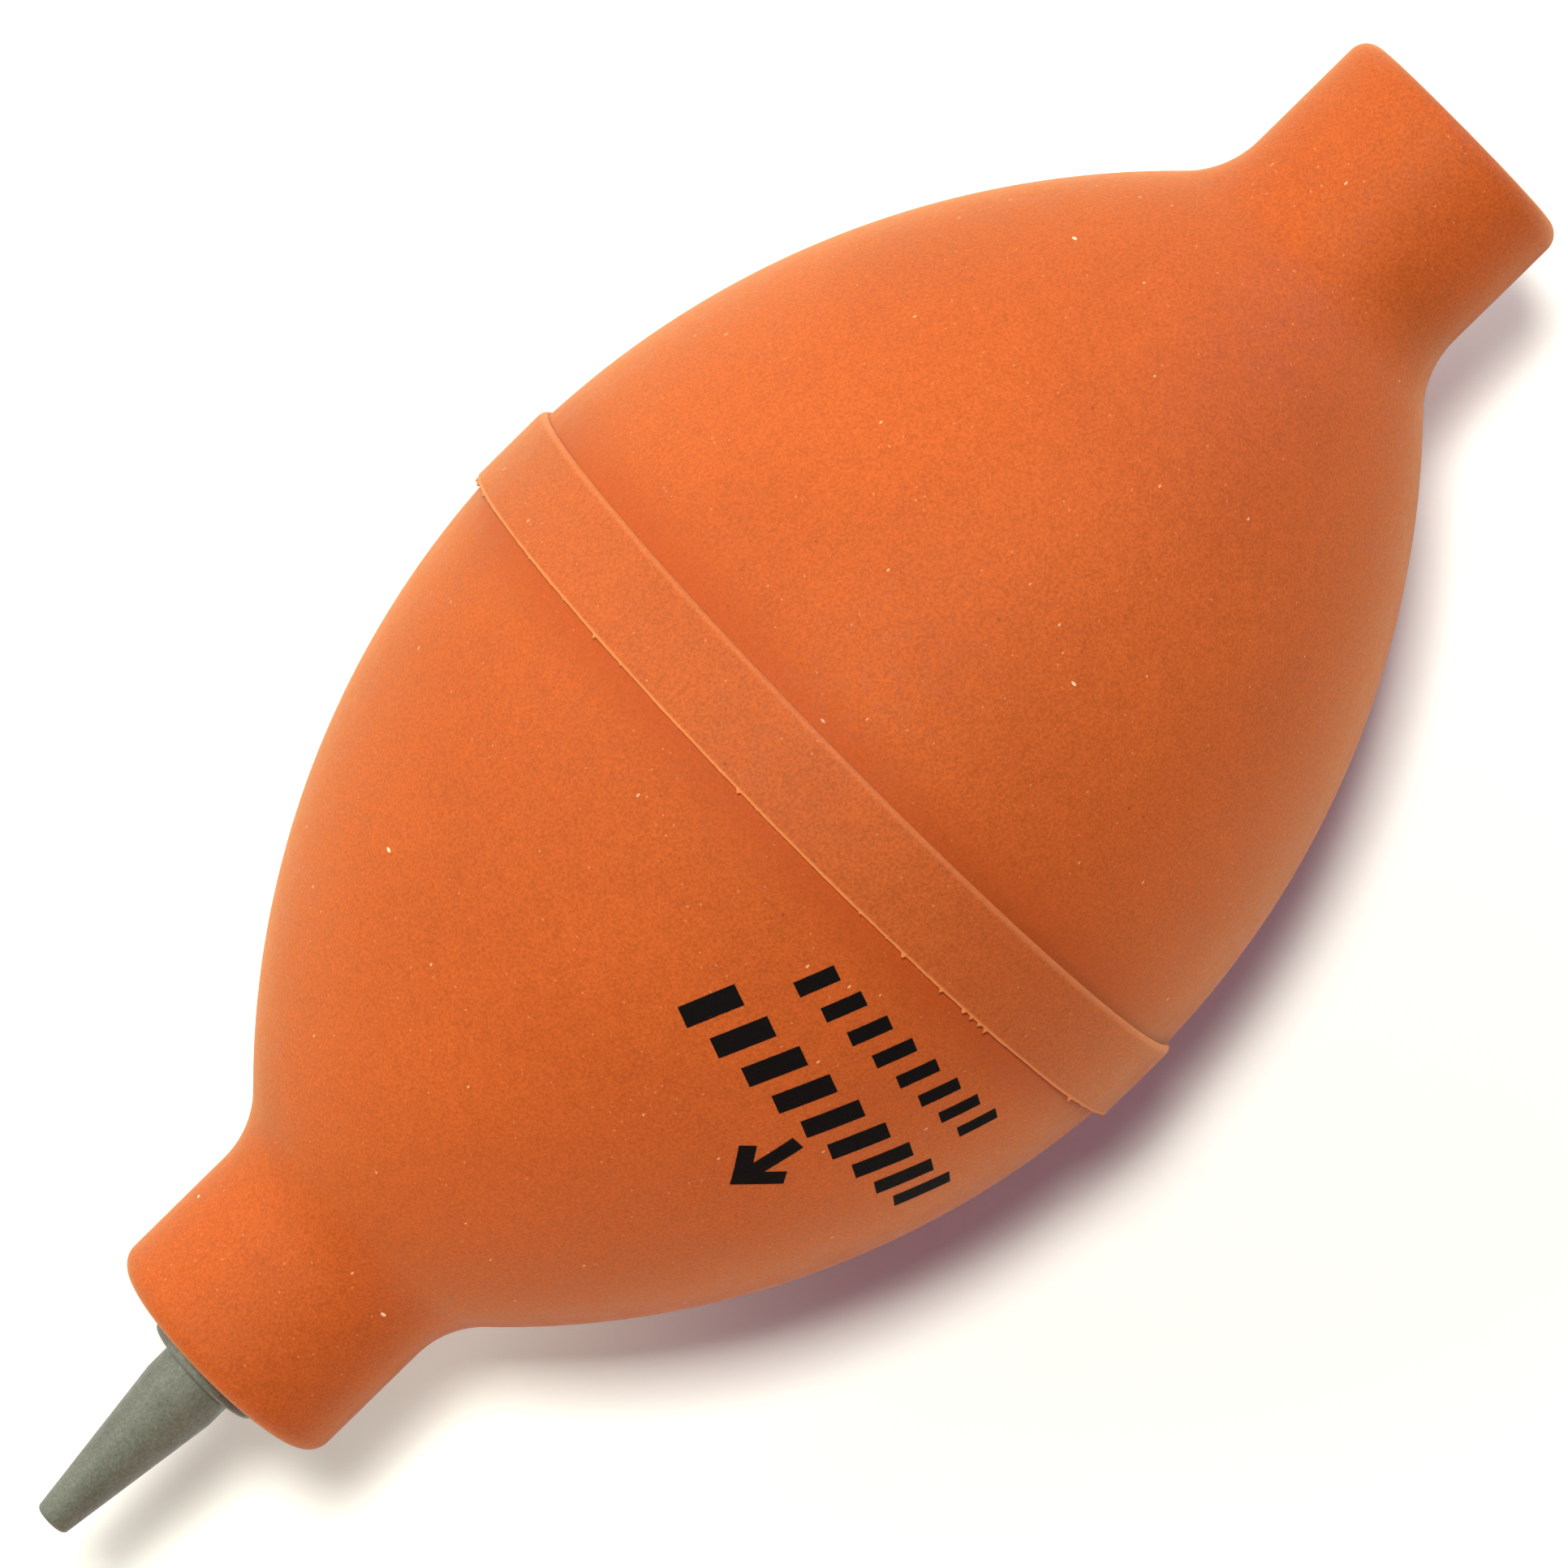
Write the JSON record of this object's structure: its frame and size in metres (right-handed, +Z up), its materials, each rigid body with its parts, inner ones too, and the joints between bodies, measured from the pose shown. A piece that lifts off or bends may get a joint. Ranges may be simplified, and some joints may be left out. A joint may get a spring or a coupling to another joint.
{
  "type": "dust blower bulb",
  "caption": "Hand-squeezed rubber dust blower: spindle-shaped two-half bulb with a seam band, a tapered blowing nozzle in one neck and a spring-closed air inlet valve in the other.",
  "frame": {"origin": "middle of the blower's whole length from nozzle tip to rear neck face, in the upright plane through the bulb's axis, on the surface that the seam band lies on", "axes": "+X along the bulb's axis from nozzle to inlet valve, +Z up from the surface that the blower lies on, +Y across"},
  "size_m": [0.1112, 0.05, 0.0499],
  "materials": {
    "bulb_rubber": "matt, faintly velvety moulded rubber",
    "band_rubber": "matt rubber strip, a little paler and browner than the bulb",
    "grey_plastic": "matt grey-green moulded plastic",
    "seal_rubber": "matt black",
    "poppet_plastic": "natural white moulded plastic",
    "spring_steel": "bright drawn wire"
  },
  "bodies": {
    "root": {"front_half_shell": "bulb_rubber", "rear_half_shell": "bulb_rubber", "seam_band": "band_rubber", "blower_nozzle": "grey_plastic", "valve_housing": "grey_plastic", "valve_seat_ring": "seal_rubber", "valve_spring": "spring_steel", "valve_retainer": "grey_plastic"},
    "top_wall": {"press_wall_top": "bulb_rubber"},
    "bottom_wall": {"press_wall_bottom": "bulb_rubber"},
    "poppet": {"valve_poppet": "poppet_plastic"}
  },
  "joints": [
    {"name": "squeeze_top", "type": "slide", "parent": "root", "child": "top_wall", "axis": [0, 0, -1], "range_m": [0, 0.009], "stiffness_N_per_m": 900},
    {"name": "squeeze_bottom", "type": "slide", "parent": "root", "child": "bottom_wall", "axis": [0, 0, 1], "range_m": [0, 0.009], "stiffness_N_per_m": 900},
    {"name": "valve_lift", "type": "slide", "parent": "root", "child": "poppet", "axis": [-1, 0, 0], "range_m": [0, 0.0012], "stiffness_N_per_m": 5, "springref_m": -0.0006, "deforming": ["valve_spring"]}
  ],
  "couplings": [
    {"joint": "squeeze_bottom", "follows": "squeeze_top", "ratio": 1}
  ]
}
